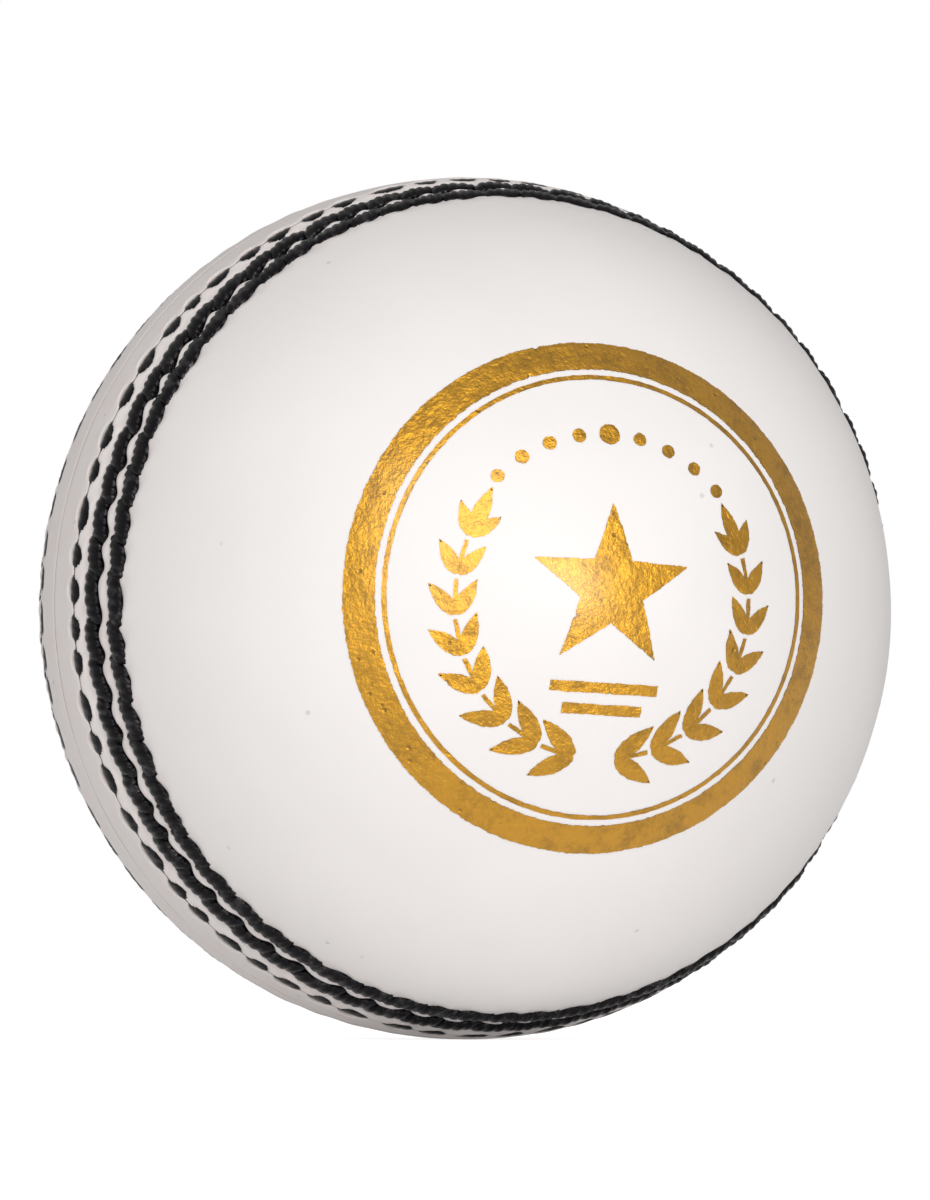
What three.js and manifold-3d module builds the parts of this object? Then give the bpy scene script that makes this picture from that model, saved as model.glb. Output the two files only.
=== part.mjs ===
// A cricket ball: a cork and rubber nucleus, three layers of cork strips bound with wound yarn, and two
// moulded leather cups that meet at a raised seam with three rows of heavy thread on each cup.
//
// Millimetres, +Z up. The origin is the ball's centre. The seam lies in the XZ plane, so the seam's axis is
// Y: the front cup, which carries the foil stamp, is on the -Y side and the back cup on the +Y side.
import * as THREE from "three";
import { mergeVertices } from "three/addons/utils/BufferGeometryUtils.js";
import Module from "manifold-3d";

const wasm = await Module();
wasm.setup();

// ---------------------------------------------------------------- driving dimensions
const CLEARANCE = 0.3; // between pieces that touch in the real ball

// Cover
const BALL_RADIUS = 36.0; // over the smooth leather, away from the seam
const LEATHER_THICKNESS = 3.5;
const SEAM_RISE = 0.4; // how far the middle of the seam stands above the smooth leather
const SEAM_SHOULDER = 2.4; // from the inner row to where the leather is at the ball's own radius again
const LIP_CHAMFER = 0.5; // at each cup's rim, where the two cups meet

// Stitching
const ROWS = ["inner", "middle", "outer"]; // on each cup, counted from the joint
const FIRST_ROW = 4.4; // from the joint to the inner row
const ROW_PITCH = 2.85; // from one row to the next
const THREAD_DIAMETER = 1.2;
const THREAD_SINK = 0.4; // how far the thread's centre lies under the leather's surface

// Core
const LAYERS = ["outer", "middle", "inner"]; // from the cover inwards
const CORK_THICKNESS = 2.5;
const STRIPS_PER_LAYER = 4;
const YARN_THICKNESS = { outer: 3.1, middle: 2.1, inner: 2.1 };
const YARN_OPENING = 2.0; // radius of the opening that each winding leaves at one pole

// Facets
const COVER_SEGMENTS = 48;
const THREAD_SIDES = 6;
const GROOVE_STEPS = 5;
const CORE_SEGMENTS = 16; // a multiple of twice STRIPS_PER_LAYER keeps turned layers in line
const ARC_STEP = THREE.MathUtils.degToRad(7.5);

// ---------------------------------------------------------------- sizes that follow
const THREAD_RADIUS = THREAD_DIAMETER / 2;
const SEAM_EDGE = FIRST_ROW + SEAM_SHOULDER;
const COVER_BORE = BALL_RADIUS - LEATHER_THICKNESS;
const QUARTER_TURN = Math.PI / 2;

// ---------------------------------------------------------------- materials
const material = (color, roughness) => new THREE.MeshStandardMaterial({ color, roughness, metalness: 0 });
const LEATHER = material(0xece8e6, 0.38);
const THREAD = material(0x17151a, 0.5);
const YARN = material(0xd8c8a4, 0.9);
const CORK = material(0xb98a56, 0.85);
const NUCLEUS = material(0x5e4633, 0.8);

// ---------------------------------------------------------------- helpers
function piece(name, geometry, finish) {
  const mesh = new THREE.Mesh(geometry, finish);
  mesh.name = name;
  return mesh;
}

const polar = (radius, latitude) =>
  new THREE.Vector2(Math.max(0, radius * Math.cos(latitude)), radius * Math.sin(latitude));

// Points on an arc about the centre, from one latitude to another, both ends included.
function arc(radiusAt, from, to, step = ARC_STEP) {
  const count = Math.max(1, Math.round(Math.abs(to - from) / step));
  return Array.from({ length: count + 1 }, (_, i) => {
    const latitude = from + ((to - from) * i) / count;
    return polar(radiusAt(latitude), latitude);
  });
}

function toSolid(geometry) {
  const bare = geometry.clone();
  bare.deleteAttribute("normal");
  bare.deleteAttribute("uv");
  const merged = mergeVertices(bare, 1e-3);
  return new wasm.Manifold(
    new wasm.Mesh({
      numProp: 3,
      vertProperties: merged.attributes.position.array,
      triVerts: new Uint32Array(merged.index.array),
    }),
  );
}

function toGeometry(solid) {
  const mesh = solid.getMesh();
  return new THREE.BufferGeometry()
    .setAttribute("position", new THREE.BufferAttribute(mesh.vertProperties, 3))
    .setIndex(new THREE.BufferAttribute(mesh.triVerts, 1));
}

// ---------------------------------------------------------------- cover
// Latitude, seen from the centre, of a place on the leather at this height above the seam's plane.
const latitudeOf = (height) => Math.asin(height / BALL_RADIUS);

// Radius of the leather's surface: the ball's own, raised towards the seam.
function leatherRadius(latitude) {
  const height = BALL_RADIUS * Math.sin(latitude);
  return BALL_RADIUS + SEAM_RISE * (1 - THREE.MathUtils.smoothstep(height, FIRST_ROW, SEAM_EDGE));
}

const rowHeight = (row) => FIRST_ROW + row * ROW_PITCH;
const threadSeat = (row) => {
  const latitude = latitudeOf(rowHeight(row));
  return { latitude, radius: leatherRadius(latitude) - THREAD_SINK };
};

// The channel that a row of thread lies in, as profile points from its pole side to its joint side.
function groove(row) {
  const seat = threadSeat(row);
  const reach = THREAD_RADIUS + CLEARANCE;
  const open = Math.PI - Math.acos(THREAD_SINK / reach);
  const centre = polar(seat.radius, seat.latitude);
  return Array.from({ length: GROOVE_STEPS + 1 }, (_, i) => {
    const turn = seat.latitude + Math.PI + open * ((2 * i) / GROOVE_STEPS - 1);
    return new THREE.Vector2(centre.x + reach * Math.cos(turn), centre.y + reach * Math.sin(turn));
  });
}

// Outer latitude at which the channel of a row starts, on the pole side (+1) or the joint side (-1).
const channelEdge = (row, side) =>
  threadSeat(row).latitude + (side * (THREAD_RADIUS + CLEARANCE + CLEARANCE)) / BALL_RADIUS;

// One cup, turned about Y, open towards -Y, with its pole at +Y.
function cupGeometry() {
  const jointHeight = CLEARANCE / 2;
  const last = ROWS.length - 1;
  const lipTop = latitudeOf(jointHeight + LIP_CHAMFER);
  const profile = arc(leatherRadius, QUARTER_TURN, channelEdge(last, 1));
  for (let row = last; row >= 0; row--) {
    profile.push(...groove(row));
    const next = row > 0 ? channelEdge(row - 1, 1) : lipTop;
    profile.push(...arc(leatherRadius, channelEdge(row, -1), next));
  }
  profile.push(new THREE.Vector2(leatherRadius(0) - LIP_CHAMFER, jointHeight));
  profile.push(...arc(() => COVER_BORE, Math.asin(jointHeight / COVER_BORE), QUARTER_TURN));
  return new THREE.LatheGeometry(profile.reverse(), COVER_SEGMENTS);
}

function cover() {
  const group = new THREE.Group();
  const back = piece("cover_cup_back", cupGeometry(), LEATHER);
  const front = piece("cover_cup_front", cupGeometry(), LEATHER);
  front.rotation.x = Math.PI;
  group.add(back, front);
  return group;
}

// ---------------------------------------------------------------- stitching
// A row of stitches as one ring of thread, seated in its channel.
function threadRow(cup, row) {
  const seat = threadSeat(row);
  const ring = new THREE.TorusGeometry(
    seat.radius * Math.cos(seat.latitude),
    THREAD_RADIUS,
    THREAD_SIDES,
    COVER_SEGMENTS,
  ).rotateX(QUARTER_TURN);
  const mesh = piece(`thread_${cup.name}_${ROWS[row]}`, ring, THREAD);
  mesh.position.y = cup.side * seat.radius * Math.sin(seat.latitude);
  return mesh;
}

function stitching() {
  const group = new THREE.Group();
  for (const cup of [
    { name: "front", side: -1 },
    { name: "back", side: 1 },
  ]) {
    ROWS.forEach((_, row) => group.add(threadRow(cup, row)));
  }
  return group;
}

// ---------------------------------------------------------------- core
const ballGeometry = (radius) => new THREE.SphereGeometry(radius, CORE_SEGMENTS, CORE_SEGMENTS / 2);

// One side of a wound layer, from the +Y pole to the rim of its opening. Its rings are those of a ball, and
// the rim lies on the last facet, so that every layer keeps its clearance from the next.
function windingSide(radius) {
  const side = arc(() => radius, QUARTER_TURN, -QUARTER_TURN, (2 * Math.PI) / CORE_SEGMENTS);
  const pole = side.pop();
  const lastRing = side.at(-1);
  side.push(pole.clone().lerp(lastRing, YARN_OPENING / lastRing.x));
  return side;
}

// A wound layer, open at the -Y pole.
function windingGeometry(outer, thickness) {
  const profile = [...windingSide(outer - thickness), ...windingSide(outer).reverse()];
  return new THREE.LatheGeometry(profile, CORE_SEGMENTS);
}

// The space of one cork strip: a wedge along Y, clear of the next strips by half a clearance on each side.
function wedgeGeometry(reach) {
  const half = Math.PI / STRIPS_PER_LAYER;
  const apex = CLEARANCE / 2 / Math.sin(half);
  const far = 2 * reach;
  const outline = new THREE.Shape([
    new THREE.Vector2(apex, 0),
    new THREE.Vector2(apex + far * Math.cos(half), far * Math.sin(half)),
    new THREE.Vector2(apex + far * Math.cos(half), -far * Math.sin(half)),
  ]);
  return new THREE.ExtrudeGeometry(outline, { depth: 2 * far, bevelEnabled: false })
    .translate(0, 0, -far)
    .rotateX(QUARTER_TURN);
}

function corkStripGeometry(outer) {
  const shell = toSolid(ballGeometry(outer)).subtract(toSolid(ballGeometry(outer - CORK_THICKNESS)));
  return toGeometry(shell.intersect(toSolid(wedgeGeometry(outer))));
}

// The layers from the cover inwards, and the nucleus, which fills what they leave.
function core() {
  const group = new THREE.Group();
  const stripTurn = (2 * Math.PI) / STRIPS_PER_LAYER;
  let outer = COVER_BORE - CLEARANCE;
  LAYERS.forEach((layer, depth) => {
    const thickness = YARN_THICKNESS[layer];
    group.add(piece(`yarn_winding_${layer}`, windingGeometry(outer, thickness), YARN));
    outer -= thickness + CLEARANCE;

    const strip = corkStripGeometry(outer);
    for (let i = 0; i < STRIPS_PER_LAYER; i++) {
      const mesh = piece(`cork_strip_${layer}_${i + 1}`, strip, CORK);
      mesh.rotation.y = (i + (depth % 2 ? 0.5 : 0)) * stripTurn;
      group.add(mesh);
    }
    outer -= CORK_THICKNESS + CLEARANCE;
  });
  group.add(piece("nucleus", ballGeometry(outer), NUCLEUS));
  return group;
}

const ball = new THREE.Group();
ball.add(core(), cover(), stitching());

export default ball;
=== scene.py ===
"""A cricket ball: two moulded white leather cups over a wound cork core, joined by a raised seam.

Each cup carries three rows of heavy black thread. The row next to the joint lies sunk in slots between
raised lips; the other two rows stand proud, each stitch a slanted twist of three plies that overlaps the
next. A gold foil stamp lies on the front cup. The ball's centre is the origin and the seam's axis is Y.
"""
import math
import random

import bmesh
import bpy
import numpy as np
from bpy.props import FloatProperty, FloatVectorProperty, IntProperty, PointerProperty
from mathutils import Matrix, Vector, noise


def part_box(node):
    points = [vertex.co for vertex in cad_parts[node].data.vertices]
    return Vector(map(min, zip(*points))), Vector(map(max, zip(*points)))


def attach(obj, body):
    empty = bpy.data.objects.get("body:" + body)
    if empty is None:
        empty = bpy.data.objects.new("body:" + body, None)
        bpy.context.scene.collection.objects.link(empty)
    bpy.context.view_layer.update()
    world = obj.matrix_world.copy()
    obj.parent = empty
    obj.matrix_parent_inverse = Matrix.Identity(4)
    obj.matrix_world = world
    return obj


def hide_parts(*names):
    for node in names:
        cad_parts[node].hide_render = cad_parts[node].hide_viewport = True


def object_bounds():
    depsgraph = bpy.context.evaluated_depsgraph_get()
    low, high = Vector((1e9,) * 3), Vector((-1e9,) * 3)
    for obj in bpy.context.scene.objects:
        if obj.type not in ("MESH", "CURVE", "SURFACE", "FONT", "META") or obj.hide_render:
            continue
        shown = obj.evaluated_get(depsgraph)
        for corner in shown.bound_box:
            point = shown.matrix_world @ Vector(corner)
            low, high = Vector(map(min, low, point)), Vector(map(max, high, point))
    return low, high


bl_info = {
    "name": "Cricket Ball",
    "version": (1, 0, 0),
    "blender": (4, 5, 0),
    "location": "View3D > Sidebar > Cricket Ball",
    "description": "Builds a stitched leather cricket ball around its packed frame",
    "category": "Add Mesh",
}

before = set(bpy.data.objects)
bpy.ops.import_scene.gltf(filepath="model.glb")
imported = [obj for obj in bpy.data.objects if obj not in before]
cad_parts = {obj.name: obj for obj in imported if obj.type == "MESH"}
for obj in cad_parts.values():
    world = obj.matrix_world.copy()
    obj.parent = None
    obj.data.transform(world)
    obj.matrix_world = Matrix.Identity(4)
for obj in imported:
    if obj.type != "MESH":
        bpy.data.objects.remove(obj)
CAD_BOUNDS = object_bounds()

MM = 0.001
FULL_TURN = 2 * math.pi
CUPS = ("front", "back")
ROWS = ("inner", "middle", "outer")
LAYERS = ("outer", "middle", "inner")
STRIPS = (1, 2, 3, 4)


# ---------------------------------------------------------------- sizes that the frame holds
def half_width(node):
    """Half of a node's size across the seam's axis."""
    low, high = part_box(node)
    return (high[0] - low[0]) / 2


def row_height(row):
    """Distance of a row of thread from the joint, along the seam's axis."""
    low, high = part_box(f"thread_back_{row}")
    return (low[1] + high[1]) / 2


BALL_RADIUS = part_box("cover_cup_back")[1][1]
SEAM_RADIUS = half_width("cover_cup_back")
SEAM_RISE = SEAM_RADIUS - BALL_RADIUS
CORE_RADIUS = half_width("yarn_winding_outer")
ROW_LATITUDE = {row: math.asin(row_height(row) / BALL_RADIUS) for row in ROWS}


# ---------------------------------------------------------------- settings
class BALL_PG_cover(bpy.types.PropertyGroup):
    lip_round: FloatProperty(
        name="Lip round",
        description="Radius of each cup's rim at the joint",
        default=0.14 * MM,
        unit="LENGTH",
    )
    bore_gap: FloatProperty(
        name="Bore gap",
        description="Room between the cups and the wound core",
        default=0.3 * MM,
        unit="LENGTH",
    )
    unevenness: FloatProperty(
        name="Unevenness",
        description="How far the leather between the rows rises and falls",
        default=0.05 * MM,
        unit="LENGTH",
    )
    color: FloatVectorProperty(
        name="Leather colour",
        description="Colour of the white coating",
        default=(0.86, 0.835, 0.825),
        subtype="COLOR",
    )
    seam_color: FloatVectorProperty(
        name="Seam colour",
        description="Colour of the coating where it is drawn tight beside the stitches",
        default=(0.84, 0.755, 0.73),
        subtype="COLOR",
    )
    # Painted shadow: the near-black painted into the stitch holes, the middle of the crease and the channels
    # under the thread.
    deep_shadow_color: FloatVectorProperty(
        name="Deep shadow colour",
        description="Colour of the leather in the stitch holes and under the thread, painted dark as shadow",
        default=(0.014, 0.01, 0.012),
        subtype="COLOR",
    )


class BALL_PG_seam(bpy.types.PropertyGroup):
    stitches: IntProperty(
        name="Stitches",
        description="Stitches in each row",
        default=68,
        min=24,
        max=120,
    )
    thread_width: FloatProperty(
        name="Thread width",
        description="Width of the heavy thread, which the press has flattened against the leather",
        default=2.0 * MM,
        unit="LENGTH",
    )
    thread_height: FloatProperty(
        name="Thread height",
        description="Height of the flattened thread",
        default=1.04 * MM,
        unit="LENGTH",
    )
    overlap: FloatProperty(
        name="Overlap",
        description="How far a stitch reaches back over the one before it, at each end",
        default=1.1 * MM,
        unit="LENGTH",
    )
    slant: FloatProperty(
        name="Slant",
        description="How far a stitch's ends lie to either side of its row",
        default=0.48 * MM,
        unit="LENGTH",
    )
    sink: FloatProperty(
        name="Sink",
        description="How far the middle of a stitch's thread lies under the leather's surface",
        default=0.14 * MM,
        unit="LENGTH",
    )
    slot_length: FloatProperty(
        name="Slot length",
        description="Length of the openings that show the sunk row",
        default=2.3 * MM,
        unit="LENGTH",
    )
    slot_width: FloatProperty(
        name="Slot width",
        description="Width of the openings that show the sunk row",
        default=1.85 * MM,
        unit="LENGTH",
    )
    color: FloatVectorProperty(
        name="Thread colour",
        description="Colour of the waxed thread",
        default=(0.0032, 0.0024, 0.0038),
        subtype="COLOR",
    )


class BALL_PG_stamp(bpy.types.PropertyGroup):
    radius: FloatProperty(
        name="Stamp radius",
        description="Outer radius of the stamp's border, measured along the leather",
        default=22.4 * MM,
        unit="LENGTH",
    )
    stroke: FloatProperty(
        name="Border stroke",
        description="Width of the stamp's border",
        default=2.8 * MM,
        unit="LENGTH",
    )
    turn: FloatProperty(
        name="Turn",
        description="How far the stamp is turned from upright",
        default=math.radians(3),
        subtype="ANGLE",
    )
    thickness: FloatProperty(
        name="Foil thickness",
        description="Thickness of the foil with its size",
        default=0.04 * MM,
        unit="LENGTH",
    )
    color: FloatVectorProperty(
        name="Foil colour",
        description="Colour of the gold foil",
        default=(0.72, 0.36, 0.02),
        subtype="COLOR",
    )


class BALL_PG_core(bpy.types.PropertyGroup):
    yarn_diameter: FloatProperty(
        name="Yarn diameter",
        description="Diameter of the wound yarn",
        default=1.3 * MM,
        unit="LENGTH",
    )
    turns: IntProperty(
        name="Turns",
        description="Turns of yarn laid over each wound layer",
        default=64,
    )
    opening: FloatProperty(
        name="Opening",
        description="Radius of the opening at the front pole of each wound layer",
        default=2.0 * MM,
        unit="LENGTH",
    )
    strip_gap: FloatProperty(
        name="Strip gap",
        description="Room between two strips of cork",
        default=0.3 * MM,
        unit="LENGTH",
    )
    tip_radius: FloatProperty(
        name="Tip radius",
        description="Distance of a cork strip's blunt tips from the seam's axis",
        default=1.5 * MM,
        unit="LENGTH",
    )
    edge_round: FloatProperty(
        name="Edge round",
        description="Round on the edges of the cork strips",
        default=0.35 * MM,
        unit="LENGTH",
    )
    yarn_color: FloatVectorProperty(
        name="Yarn colour",
        description="Colour of the undyed yarn",
        default=(0.62, 0.5, 0.31),
        subtype="COLOR",
    )
    cork_color: FloatVectorProperty(
        name="Cork colour",
        description="Colour of the cork strips",
        default=(0.46, 0.25, 0.1),
        subtype="COLOR",
    )
    nucleus_color: FloatVectorProperty(
        name="Nucleus colour",
        description="Colour of the rubber that binds the nucleus",
        default=(0.07, 0.04, 0.025),
        subtype="COLOR",
    )


class BALL_PG_stage(bpy.types.PropertyGroup):
    azimuth: FloatProperty(
        name="Camera azimuth",
        description="Direction of the camera around the ball, from its front pole",
        default=math.radians(-19.5),
        subtype="ANGLE",
    )
    elevation: FloatProperty(
        name="Camera elevation",
        description="Height of the camera seen from the ball's centre",
        default=math.radians(-1.8),
        subtype="ANGLE",
    )
    distance: FloatProperty(
        name="Camera distance",
        description="Distance of the camera from the ball's centre",
        default=0.9,
        unit="LENGTH",
    )
    fill: FloatProperty(
        name="Fill",
        description="Share of the picture's height that the ball's smooth cover takes up",
        default=0.71,
    )
    key_power: FloatProperty(
        name="Key power",
        description="Power of the large soft light",
        default=7.6,
        unit="POWER",
    )
    window_power: FloatProperty(
        name="Window power",
        description="Power of the small light that gives the foil and the threads their glints",
        default=2.0,
        unit="POWER",
    )
    fill_level: FloatProperty(
        name="Fill level",
        description="Brightness of the light that comes from all round",
        default=0.445,
    )


SETTINGS = {
    "ball_cover": BALL_PG_cover,
    "ball_seam": BALL_PG_seam,
    "ball_stamp": BALL_PG_stamp,
    "ball_core": BALL_PG_core,
    "ball_stage": BALL_PG_stage,
}


# ---------------------------------------------------------------- node helpers
def add_node(tree, kind, inputs=None, **settings):
    """A shader node with its settings; an input is a value, or a socket to link from."""
    node = tree.nodes.new(kind)
    for name, value in settings.items():
        setattr(node, name, value)
    for key, value in (inputs or {}).items():
        if isinstance(value, bpy.types.NodeSocket):
            tree.links.new(value, node.inputs[key])
        else:
            node.inputs[key].default_value = value
    return node


def math_node(tree, operation, *values):
    """The result socket of a Math node."""
    return add_node(tree, "ShaderNodeMath", dict(enumerate(values)), operation=operation).outputs[0]


def ramp(tree, value, low, high):
    """A value carried smoothly from 0 at low to 1 at high."""
    node = add_node(
        tree,
        "ShaderNodeMapRange",
        {"Value": value, "From Min": low, "From Max": high},
        interpolation_type="SMOOTHSTEP",
    )
    return node.outputs["Result"]


def mix_color(tree, factor, first, second):
    """Two colours mixed by a factor."""
    node = add_node(tree, "ShaderNodeMix", data_type="RGBA")
    factor_socket, first_socket, second_socket = node.inputs[0], node.inputs[6], node.inputs[7]
    for socket, value in ((factor_socket, factor), (first_socket, first), (second_socket, second)):
        if isinstance(value, bpy.types.NodeSocket):
            tree.links.new(value, socket)
        else:
            socket.default_value = value
    return node.outputs[2]


def noise_node(tree, vector, scale, detail=2.0, roughness=0.5):
    """The Fac socket of a Noise Texture, with its scale in waves per metre."""
    inputs = {"Vector": vector, "Scale": scale, "Detail": detail, "Roughness": roughness}
    return add_node(tree, "ShaderNodeTexNoise", inputs).outputs[0]


def object_coordinates(tree):
    """Positions on the ball, from its centre."""
    return add_node(tree, "ShaderNodeTexCoord").outputs["Object"]


def opaque(color):
    """A colour setting as the four values that a socket takes."""
    return (*color, 1.0)


def new_group(name, inputs, outputs):
    """An empty shader node group, its input node and its output node."""
    group = bpy.data.node_groups.new(name, "ShaderNodeTree")
    for label, kind, value in inputs:
        socket = group.interface.new_socket(label, in_out="INPUT", socket_type=kind)
        if value is not None:
            socket.default_value = value
    for label, kind in outputs:
        group.interface.new_socket(label, in_out="OUTPUT", socket_type=kind)
    return group, group.nodes.new("NodeGroupInput"), group.nodes.new("NodeGroupOutput")


def grain_group():
    """Fine grain: long faint streaks with finer tooth over them, and scattered pits."""
    name = "Fine grain"
    if name in bpy.data.node_groups:
        return bpy.data.node_groups[name]
    group, start, end = new_group(
        name,
        [
            ("Vector", "NodeSocketVector", None),
            ("Scale", "NodeSocketFloat", 1000.0),
            ("Stretch", "NodeSocketVector", (1.0, 1.0, 1.0)),
            ("Pit Scale", "NodeSocketFloat", 300.0),
            ("Pit Share", "NodeSocketFloat", 0.05),
        ],
        [("Height", "NodeSocketFloat"), ("Pits", "NodeSocketFloat"), ("Cloud", "NodeSocketFloat")],
    )
    stretched = add_node(
        group,
        "ShaderNodeVectorMath",
        {0: start.outputs["Vector"], 1: start.outputs["Stretch"]},
        operation="MULTIPLY",
    ).outputs[0]
    scale = start.outputs["Scale"]
    streak = noise_node(group, stretched, scale, 4.0, 0.6)
    tooth = noise_node(group, start.outputs["Vector"], math_node(group, "MULTIPLY", scale, 3.1), 3.0)
    cells = add_node(
        group,
        "ShaderNodeTexVoronoi",
        {"Vector": start.outputs["Vector"], "Scale": start.outputs["Pit Scale"], "Randomness": 1.0},
    )
    chosen = math_node(
        group,
        "LESS_THAN",
        add_node(group, "ShaderNodeSeparateColor", {0: cells.outputs["Color"]}).outputs[0],
        start.outputs["Pit Share"],
    )
    near = math_node(group, "SUBTRACT", 1.0, ramp(group, cells.outputs["Distance"], 0.06, 0.22))
    pits = math_node(group, "MULTIPLY", chosen, near)
    height = math_node(group, "MULTIPLY_ADD", tooth, 0.35, streak)
    group.links.new(math_node(group, "SUBTRACT", height, pits), end.inputs["Height"])
    group.links.new(pits, end.inputs["Pits"])
    cloud = noise_node(group, start.outputs["Vector"], math_node(group, "MULTIPLY", scale, 0.06), 3.0)
    group.links.new(cloud, end.inputs["Cloud"])
    return group


def fibre_group():
    """Fibres along a thread: reads the twist attribute, which is wound in with the plies."""
    name = "Twisted fibres"
    if name in bpy.data.node_groups:
        return bpy.data.node_groups[name]
    group, start, end = new_group(
        name,
        [
            ("Vector", "NodeSocketVector", None),
            ("Twist", "NodeSocketVector", None),
            ("Fibres", "NodeSocketFloat", 60.0),
        ],
        [("Height", "NodeSocketFloat"), ("Wear", "NodeSocketFloat")],
    )
    fibres = noise_node(group, start.outputs["Twist"], start.outputs["Fibres"], 3.0, 0.6)
    fuzz = noise_node(group, start.outputs["Vector"], 9000.0, 2.0)
    group.links.new(math_node(group, "MULTIPLY_ADD", fuzz, 0.3, fibres), end.inputs["Height"])
    wear = ramp(group, noise_node(group, start.outputs["Vector"], 900.0, 3.0), 0.5, 0.75)
    group.links.new(wear, end.inputs["Wear"])
    return group


def placed(tree, group, inputs):
    """A node group placed in a material."""
    node = tree.nodes.new("ShaderNodeGroup")
    node.node_tree = group
    for key, value in inputs.items():
        if isinstance(value, bpy.types.NodeSocket):
            tree.links.new(value, node.inputs[key])
        else:
            node.inputs[key].default_value = value
    return node


def new_material(name, **surface):
    """A material with one Principled BSDF, whose uniform values are set by socket name."""
    material = bpy.data.materials.new(name)
    material.use_nodes = True
    tree = material.node_tree
    shader = tree.nodes["Principled BSDF"]
    for key, value in surface.items():
        shader.inputs[key.replace("_", " ").title().replace("Ior", "IOR")].default_value = value
    return material, tree, shader


def bump(tree, height, distance, strength, shader):
    """Feeds a height to the shader's normal."""
    inputs = {"Height": height, "Distance": distance, "Strength": strength}
    node = add_node(tree, "ShaderNodeBump", inputs)
    tree.links.new(node.outputs["Normal"], shader.inputs["Normal"])


# ---------------------------------------------------------------- materials
def leather_material(cover):
    """White coated leather: faint streaks, a few pits, a warmer tone beside the stitches, and painted shade
    and shadow in the seam's slots, crease and channels.
    """
    material, tree, shader = new_material(
        "White coated leather",
        coat_roughness=0.3,
        specular_ior_level=0.4,
    )
    where = object_coordinates(tree)
    grain = placed(
        tree,
        grain_group(),
        {"Vector": where, "Scale": 900.0, "Stretch": (1.0, 1.0, 0.12), "Pit Scale": 700.0, "Pit Share": 0.02},
    )
    tight = add_node(tree, "ShaderNodeAttribute", attribute_name="tight").outputs["Fac"]
    deep = add_node(tree, "ShaderNodeAttribute", attribute_name="deep").outputs["Fac"]
    patch = ramp(tree, noise_node(tree, where, 420.0, 4.0, 0.65), 0.35, 0.7)
    warmth = math_node(tree, "MULTIPLY", tight, math_node(tree, "MULTIPLY_ADD", patch, 0.6, 0.4))
    clean = mix_color(
        tree,
        ramp(tree, grain.outputs["Cloud"], 0.3, 0.75),
        opaque(Vector(cover.color) * 0.965),
        opaque(cover.color),
    )
    tinted = mix_color(tree, warmth, clean, opaque(cover.seam_color))
    pits = math_node(tree, "MULTIPLY", grain.outputs["Pits"], 0.5)
    soiled = mix_color(tree, pits, tinted, (0.5, 0.45, 0.41, 1.0))
    # Painted shade: a dull brown that deepens in the slots, the crease, the channels and along the joint.
    shaded = mix_color(tree, ramp(tree, deep, 0.0, 0.7), soiled, (0.16, 0.1, 0.06, 1.0))
    # Painted shadow: near-black in the slots, the middle of the crease and the channels under the thread.
    deep_shadowed = mix_color(tree, ramp(tree, deep, 0.55, 0.9), shaded, opaque(Vector(cover.deep_shadow_color)))
    tree.links.new(deep_shadowed, shader.inputs["Base Color"])
    rough = math_node(tree, "MULTIPLY_ADD", grain.outputs["Cloud"], 0.14, 0.4)
    tree.links.new(rough, shader.inputs["Roughness"])
    coat = math_node(tree, "SUBTRACT", 0.2, math_node(tree, "MULTIPLY", grain.outputs["Pits"], 0.2))
    tree.links.new(coat, shader.inputs["Coat Weight"])
    bump(tree, grain.outputs["Height"], 0.03 * MM, 0.35, shader)
    return material


def thread_material(seam):
    """Waxed black linen thread, slightly glossy, with fibres along its twist."""
    material, tree, shader = new_material(
        "Waxed black thread", specular_ior_level=0.15, coat_roughness=0.12, coat_ior=1.8
    )
    where = object_coordinates(tree)
    twist = add_node(tree, "ShaderNodeAttribute", attribute_name="twist").outputs["Vector"]
    fibres = placed(tree, fibre_group(), {"Vector": where, "Twist": twist, "Fibres": 9.0})
    # The thread's worn colour: lighter patches of real wear.
    wear_and_crease_shade = opaque(Vector(seam.color) * 3.0)
    shade = math_node(tree, "MULTIPLY", fibres.outputs["Wear"], 0.5)
    tree.links.new(mix_color(tree, shade, opaque(seam.color), wear_and_crease_shade), shader.inputs["Base Color"])
    rough = math_node(tree, "MULTIPLY_ADD", fibres.outputs["Wear"], 0.2, 0.16)
    tree.links.new(rough, shader.inputs["Roughness"])
    wax = math_node(tree, "MULTIPLY_ADD", fibres.outputs["Wear"], 0.5, 0.05)
    tree.links.new(wax, shader.inputs["Coat Weight"])
    bump(tree, fibres.outputs["Height"], 0.06 * MM, 0.5, shader)
    return material


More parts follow.
